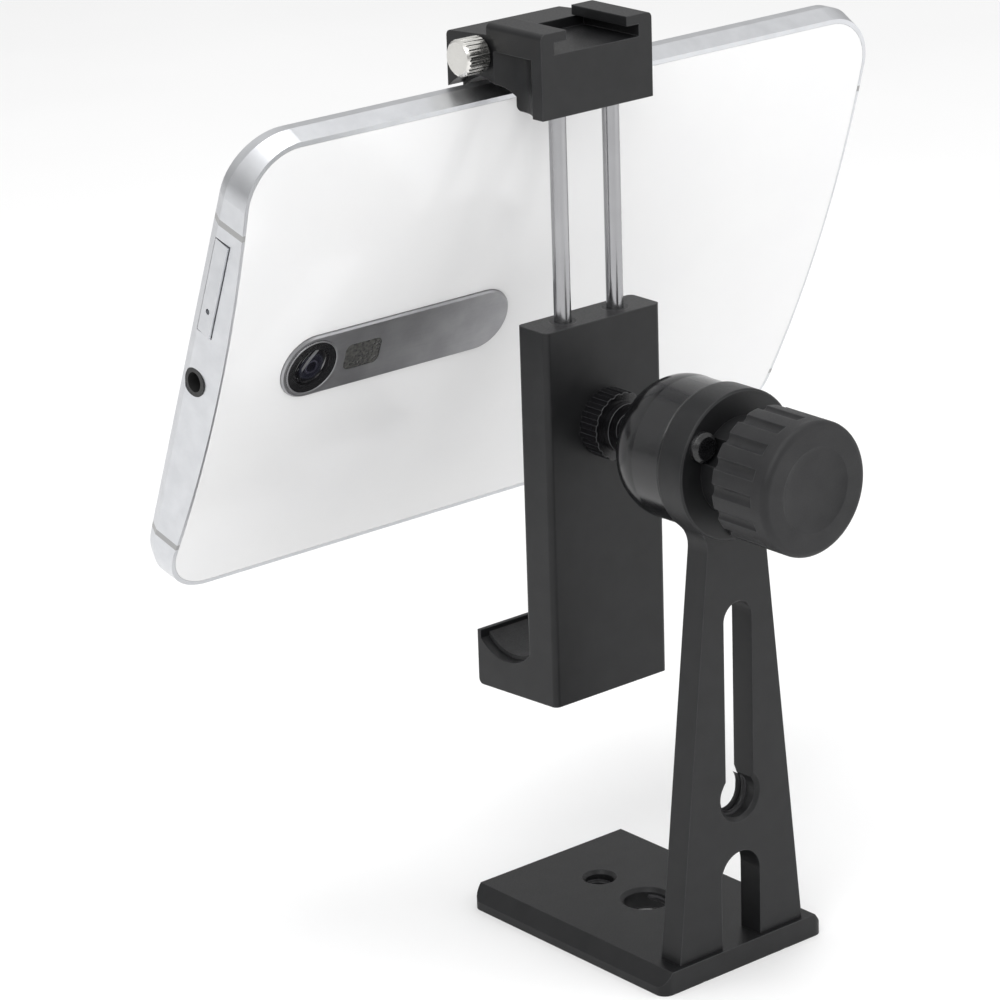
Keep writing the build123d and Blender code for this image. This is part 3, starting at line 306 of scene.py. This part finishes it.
def lens_rings_and_reflection(name, centre, radius):
    """Coated glass over a stack of dark rings, with two lighter bluish rings painted as the coating's
    reflection, coloured by distance from the lens's axis.
    """
    made, shader, nodes, links = new_material(name)
    where = nodes.new("ShaderNodeTexCoord")
    away = nodes.new("ShaderNodeVectorMath")
    away.operation = "DISTANCE"
    away.inputs[1].default_value = centre
    links.new(where.outputs["Object"], away.inputs[0])
    step = nodes.new("ShaderNodeMapRange")
    step.inputs["From Max"].default_value = radius
    links.new(away.outputs["Value"], step.inputs["Value"])
    ramp = nodes.new("ShaderNodeValToRGB")
    ramp.color_ramp.interpolation = "EASE"
    ramp.color_ramp.elements[0].color = (0.002, 0.002, 0.004, 1)
    ramp.color_ramp.elements[1].color = (0.010, 0.010, 0.011, 1)
    # Painted reflection: the lighter bluish rings stand for the coating's reflection; the dark ones are the
    # lens's inside.
    for place, colour in LENS_RINGS_AND_REFLECTION:
        ramp.color_ramp.elements.new(place).color = (*colour, 1)
    links.new(step.outputs["Result"], ramp.inputs["Fac"])
    links.new(ramp.outputs["Color"], shader.inputs["Base Color"])
    links.new(spread(nodes, links, noise(nodes, links, 200), 0.02, 0.05), shader.inputs["Roughness"])
    shader.inputs["IOR"].default_value = 1.6
    shader.inputs["Coat Weight"].default_value = 0.8
    return made


def steel(name, rough, stretch, colour=(0.62, 0.62, 0.63)):
    """Ground steel with a fine drawn grain."""
    dark = tuple(c * 0.86 for c in colour)
    return grained(name, dark, colour, 1.0, rough, 1500, stretch=stretch, height=0.12)


def rubber(name):
    """Black rubber: dull, with a coarse skin."""
    return grained(name, (0.018, 0.018, 0.019), (0.03, 0.03, 0.031), 0.0, (0.62, 0.8), 3000, height=0.35)


def glass(name, dark):
    """Coated glass: a dark body with a bright clear surface."""
    made, shader, nodes, links = new_material(name)
    smear = noise(nodes, links, 120, detail=3.0)
    links.new(spread(nodes, links, smear, 0.02, 0.07), shader.inputs["Roughness"])
    light = tuple(c * 1.3 for c in dark)
    links.new(tint(nodes, links, smear, dark, light), shader.inputs["Base Color"])
    shader.inputs["IOR"].default_value = 1.5
    shader.inputs["Coat Weight"].default_value = 0.6
    return made


def black_metals():
    """The stand's blackened metals and the plain black of its bushes."""
    black, glossy = (0.0060, 0.0062, 0.0068), (0.0035, 0.0035, 0.0040)
    return {
        "black_anodised": anodised("black_anodised", black, (0.0095, 0.0097, 0.0105), (0.36, 0.5)),
        "gloss_black": anodised("gloss_black", glossy, (0.007, 0.007, 0.008), (0.14, 0.24), specular=0.5),
        "screw_black": anodised("screw_black", glossy, (0.012, 0.012, 0.013), (0.22, 0.34), specular=0.5),
        "knob_black": anodised("knob_black", (0.012, 0.012, 0.013), (0.018, 0.018, 0.019), (0.46, 0.6)),
        "bush_black": grained("bush_black", (0.01, 0.01, 0.011), (0.016, 0.016, 0.017), 0.0,
                              (0.5, 0.65), 2600),
    }


def bright_metals():
    """The stand's rods, thumbscrew and springs."""
    return {
        "steel": steel("steel", (0.14, 0.26), (1, 1, 0.03), (0.36, 0.36, 0.37)),
        "nickel": steel("nickel", (0.16, 0.28), (1, 1, 1), (0.74, 0.73, 0.70)),
        "spring_steel": steel("spring_steel", (0.22, 0.34), (1, 1, 1), (0.5, 0.5, 0.52)),
    }


def soft_materials():
    """The stand's rubber and its brake's plastic."""
    return {
        "rubber_black": rubber("rubber_black"),
        "brake_plastic": grained("brake_plastic", (0.09, 0.09, 0.1), (0.13, 0.13, 0.14), 0.0,
                                 (0.4, 0.55), 1800),
    }


def phone_materials():
    """The phone's outside."""
    return {
        "phone_silver": grained("phone_silver", SILVER_DARK, SILVER_LIGHT, 1.0, (0.28, 0.38), 4200),
        "phone_white": grained("phone_white", (0.86, 0.86, 0.865), (0.88, 0.88, 0.88), 0.0, (0.16, 0.24),
                               700, coat=0.3, height=0.02),
        "phone_screen": glass("phone_screen", (0.012, 0.012, 0.015)),
        "plate_grey": grained("plate_grey", (0.27, 0.27, 0.28), (0.33, 0.33, 0.34), 1.0, (0.34, 0.44),
                              3000, stretch=(0.04, 1, 1), height=0.2),
        "lens_black": grained("lens_black", (0.006, 0.006, 0.007), (0.012, 0.012, 0.013), 0.0,
                              (0.1, 0.2), 1500, coat=0.5),
        "lens_glass": glass("lens_glass", (0.006, 0.006, 0.010)),
        "flash_clear": led_window("flash_clear"),
    }


def inner_phone_materials():
    """The phone's inside, and its socket."""
    return {
        "panel_black": grained("panel_black", (0.01, 0.01, 0.012), (0.02, 0.02, 0.024), 0.0,
                               (0.2, 0.3), 900),
        "cell_grey": grained("cell_grey", (0.2, 0.2, 0.21), (0.26, 0.26, 0.27), 0.2, (0.35, 0.5), 1200),
        "board_green": grained("board_green", (0.02, 0.13, 0.06), (0.03, 0.18, 0.09), 0.0,
                               (0.3, 0.45), 1500),
        "port_dark": grained("port_dark", (0.012, 0.012, 0.012), (0.022, 0.022, 0.022), 0.0,
                             (0.4, 0.6), 2000),
    }


def build_materials():
    """One finished material for each of the record's material slots."""
    return {**black_metals(), **bright_metals(), **soft_materials(), **phone_materials(),
            **inner_phone_materials()}


def dress_nodes(materials):
    """Gives each CAD node the finished material of its slot."""
    for entry in frame["record"]["subparts"]:
        node = frame["nodes"][entry["node"]]
        node.data.materials.clear()
        node.data.materials.append(materials[entry["material_slot"]])
    shell = frame["nodes"]["phone_frame"]
    shell.data.materials[0] = banded_frame("phone_frame_banded")


# ---- pieces -----------------------------------------------------------------
def piece_from(name, mesh_maker, material, body):
    """A mesh object made by bmesh code that rides on a body."""
    built = bmesh.new()
    mesh_maker(built)
    bmesh.ops.recalc_face_normals(built, faces=built.faces)
    mesh = bpy.data.meshes.new(name)
    built.to_mesh(mesh)
    built.free()
    for face in mesh.polygons:
        face.use_smooth = True
    made = bpy.data.objects.new(name, mesh)
    bpy.context.scene.collection.objects.link(made)
    made.data.materials.append(material)
    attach(made, body)
    return made


def ridge_section(wall_r, depth, pitch):
    """The (radius, rise) corners of a thread's ridge, which stands inward from a hole's wall."""
    root, crest = wall_r + ROOT_SINK, wall_r - depth
    root_half, crest_half = pitch * ROOT_SHARE, pitch * CREST_SHARE
    return ((root, -root_half), (crest, -crest_half), (crest, crest_half), (root, root_half))


def faded(step, steps, over):
    """1 along a thread's length, falling to 0 over the steps next to each of its ends."""
    return min(1.0, step / over, (steps - step) / over)


def skin(built, rings):
    """Joins each ring of vertices to the next with faces, and closes the two ends."""
    for first, second in zip(rings, rings[1:]):
        for i in range(len(first)):
            j = (i + 1) % len(first)
            built.faces.new((first[i], first[j], second[j], second[i]))
    built.faces.new(rings[0])
    built.faces.new(rings[-1])


def thread_ridge(built, centre, axis, across, wall_r, length, pitch):
    """A hole's thread: a helical ridge along its axis."""
    side = axis.cross(across)
    steps = int(length / pitch * THREAD_STEPS_PER_TURN)
    rings = []
    for step in range(steps + 1):
        angle = 2 * math.pi * step / THREAD_STEPS_PER_TURN
        outward = across * math.cos(angle) + side * math.sin(angle)
        at = centre + axis * (-length / 2 + length * step / steps)
        section = ridge_section(wall_r, THREAD_DEPTH * faded(step, steps, THREAD_FADE_STEPS), pitch)
        rings.append([built.verts.new(at + outward * r + axis * rise) for r, rise in section])
    skin(built, rings)


def keyhole_arc(built, centre, wall_r, turn, pitch):
    """One turn of the keyhole's thread, from one side of the slot's mouth round to the other."""
    rings = []
    for step in range(KEYHOLE_STEPS + 1):
        share = step / KEYHOLE_STEPS
        angle = math.pi / 2 + KEYHOLE_GAP + share * (2 * math.pi - 2 * KEYHOLE_GAP)
        outward = Vector((math.cos(angle), 0, math.sin(angle)))
        at = centre + Vector((0, (turn + share) * pitch, 0))
        section = ridge_section(wall_r, THREAD_DEPTH * faded(step, KEYHOLE_STEPS, KEYHOLE_FADE_STEPS), pitch)
        rings.append([built.verts.new(at + outward * r + Vector((0, rise, 0))) for r, rise in section])
    skin(built, rings)


def lathe(built, centre, axis, profile):
    """Turns a profile of (radius, rise) points round an axis. A zero radius closes it."""
    side = Vector((1, 0, 0))
    other = axis.cross(side)
    rings = []
    for radius, rise in profile:
        if radius == 0:
            rings.append([built.verts.new(centre + axis * rise)])
            continue
        ring = []
        for step in range(LATHE_STEPS):
            angle = 2 * math.pi * step / LATHE_STEPS
            outward = side * math.cos(angle) + other * math.sin(angle)
            ring.append(built.verts.new(centre + outward * radius + axis * rise))
        rings.append(ring)
    for first, second in zip(rings, rings[1:]):
        for i in range(LATHE_STEPS):
            j = (i + 1) % LATHE_STEPS
            corners = (first[i % len(first)], first[j % len(first)],
                       second[j % len(second)], second[i % len(second)])
            built.faces.new(list(dict.fromkeys(corners)))


def phone_back_normal():
    """The way that the phone's white back faces."""
    up = Vector(joint_named("power_press")["axis"])
    return up.cross(Vector((1, 0, 0))).normalized()


def reach(node, axis):
    """How far a CAD node reaches along an axis."""
    return max(axis.dot(v.co) for v in frame["nodes"][node].data.vertices)


def middle_of(node):
    """The middle of a CAD node's box."""
    low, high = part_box(node)
    return (Vector(low) + Vector(high)) / 2


def front_of(node, normal):
    """The middle of a CAD node's front face."""
    middle = middle_of(node)
    return middle + normal * (reach(node, normal) - normal.dot(middle))


def radius_of(node):
    """The radius of a round CAD node that faces the phone's back."""
    low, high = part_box(node)
    return (high[0] - low[0]) / 2


def add_lens_dome():
    """The camera's domed front glass, in place of its plain disc."""
    normal = phone_back_normal()
    radius = radius_of("lens_glass")
    front = front_of("lens_glass", normal)
    thick = 2 * normal.dot(front - middle_of("lens_glass"))
    angles = [math.pi / 2 * i / CROWN_STEPS for i in range(CROWN_STEPS)]
    crown = [(radius * math.cos(a), LENS_CROWN * math.sin(a) - LENS_CROWN) for a in angles]
    profile = [(0, -thick), (radius, -thick)] + crown + [(0, 0)]
    dome = piece_from("lens_dome", lambda built: lathe(built, front, normal, profile),
                      lens_rings_and_reflection("lens_dome_glass", front, radius), "phone")
    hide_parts("lens_glass")


def add_lens_trim(materials):
    """The bright trim round the camera's barrel."""
    normal = phone_back_normal()
    rim = front_of("lens_barrel", normal)
    outer = radius_of("lens_barrel")
    inner = outer - TRIM_WIDTH
    section = [(outer, -TRIM_HEIGHT), (outer, TRIM_HEIGHT / 2), (outer - TRIM_HEIGHT / 2, TRIM_HEIGHT),
               (inner + TRIM_HEIGHT / 2, TRIM_HEIGHT), (inner, TRIM_HEIGHT / 2), (inner, -TRIM_HEIGHT),
               (outer, -TRIM_HEIGHT)]
    piece_from("lens_trim", lambda built: lathe(built, rim, normal, section), materials["plate_grey"], "phone")


def mount_named(name):
    """A mount from the record by name."""
    return next(m for m in frame["record"]["mounts"] if m["name"] == name)


def joint_named(name):
    """A joint from the record by name."""
    return next(j for j in frame["record"]["behaviour"]["joints"] if j["name"] == name)


def add_threads(materials):
    """Cut threads in the foot's two tapped holes."""
    for name, pitch in (("small_thread", FINE_PITCH), ("large_thread", COARSE_PITCH)):
        mount = mount_named(name)
        low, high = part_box("foot_plate")
        centre = Vector(mount["pos_m"])
        centre.z = (low.z + high.z) / 2
        wall_r = mount["dims"]["r_mm"] * MM
        length = (high.z - low.z) - 2 * pitch
        up, across = Vector((0, 0, 1)), Vector((1, 0, 0))
        piece_from(
            name + "_ridge",
            lambda built: thread_ridge(built, centre, up, across, wall_r, length, pitch),
            materials["black_anodised"], "base",
        )


def add_keyhole_thread(materials):
    """The thread in the round end of the upright's slot, broken where the slot opens into it."""
    mount = mount_named("upright_keyhole")
    wall_r = mount_named("large_thread")["dims"]["r_mm"] * MM
    centre = Vector(mount["pos_m"]) - Vector((0, KEYHOLE_START_TURNS * COARSE_PITCH, 0))

    def every_turn(built):
        for turn in range(KEYHOLE_TURNS):
            keyhole_arc(built, centre, wall_r, turn, COARSE_PITCH)

    piece_from("keyhole_thread", every_turn, materials["black_anodised"], "base")


# ---- floor, light and camera ------------------------------------------------
def add_floor():
    """A pale floor well past the object."""
    bpy.ops.mesh.primitive_plane_add(size=FLOOR_SIZE, location=(0, 0, 0))
    floor = bpy.context.object
    floor.name = "floor"
    made, shader, nodes, links = new_material("floor_white")
    value = noise(nodes, links, 9.0, detail=2.0)
    links.new(tint(nodes, links, value, (0.93, 0.93, 0.93), (0.95, 0.95, 0.95)), shader.inputs["Base Color"])
    shader.inputs["Roughness"].default_value = 0.7
    floor.data.materials.append(made)


def add_area(name, at, size, watts):
    """A soft area light at a point, turned to look at the object."""
    light = bpy.data.lights.new(name, "AREA")
    light.shape = "RECTANGLE"
    light.size, light.size_y = size
    light.energy = watts
    made = bpy.data.objects.new(name, light)
    bpy.context.scene.collection.objects.link(made)
    made.location = at
    made.rotation_euler = (Vector(LAMP_AIM) - Vector(at)).to_track_quat("-Z", "Y").to_euler()


def add_lights():
    """Soft studio light: a surround that is brighter overhead, a key, a fill and a top light."""
    world = bpy.data.worlds.new("studio")
    world.use_nodes = True
    nodes, links = world.node_tree.nodes, world.node_tree.links
    where = nodes.new("ShaderNodeTexCoord")
    split = nodes.new("ShaderNodeSeparateXYZ")
    ramp = nodes.new("ShaderNodeValToRGB")
    ramp.color_ramp.elements[0].position, ramp.color_ramp.elements[1].position = SURROUND_STOPS
    ramp.color_ramp.elements[0].color = (*SURROUND_LOW, 1)
    ramp.color_ramp.elements[1].color = (*SURROUND_HIGH, 1)
    links.new(where.outputs["Generated"], split.inputs["Vector"])
    links.new(split.outputs["Z"], ramp.inputs["Fac"])
    links.new(ramp.outputs["Color"], nodes["Background"].inputs["Color"])
    bpy.context.scene.world = world
    for name, at, size, watts in LAMPS:
        add_area(name, at, size, watts)


def add_camera():
    """A long lens that looks down a little at the object, rolled slightly."""
    azimuth, elevation, roll = map(math.radians, (CAMERA_AZIMUTH, CAMERA_ELEVATION, CAMERA_ROLL))
    back = Vector((math.sin(azimuth) * math.cos(elevation), -math.cos(azimuth) * math.cos(elevation),
                   math.sin(elevation)))
    level = Vector((math.cos(azimuth), math.sin(azimuth), 0))
    upright = back.cross(level)
    right = level * math.cos(roll) + upright * math.sin(roll)
    up = upright * math.cos(roll) - level * math.sin(roll)
    data = bpy.data.cameras.new("camera")
    data.lens, data.sensor_width = LENS_MM, SENSOR_MM
    data.clip_start, data.clip_end = CAMERA_CLIP
    made = bpy.data.objects.new("camera", data)
    bpy.context.scene.collection.objects.link(made)
    made.matrix_world = Matrix.Translation(CAMERA_AT) @ Matrix((right, up, back)).transposed().to_4x4()
    bpy.context.scene.camera = made


materials = build_materials()
dress_nodes(materials)
add_threads(materials)
add_keyhole_thread(materials)
add_lens_dome()
add_lens_trim(materials)
add_floor()
add_lights()
add_camera()
bpy.context.scene.view_settings.view_transform = "Standard"
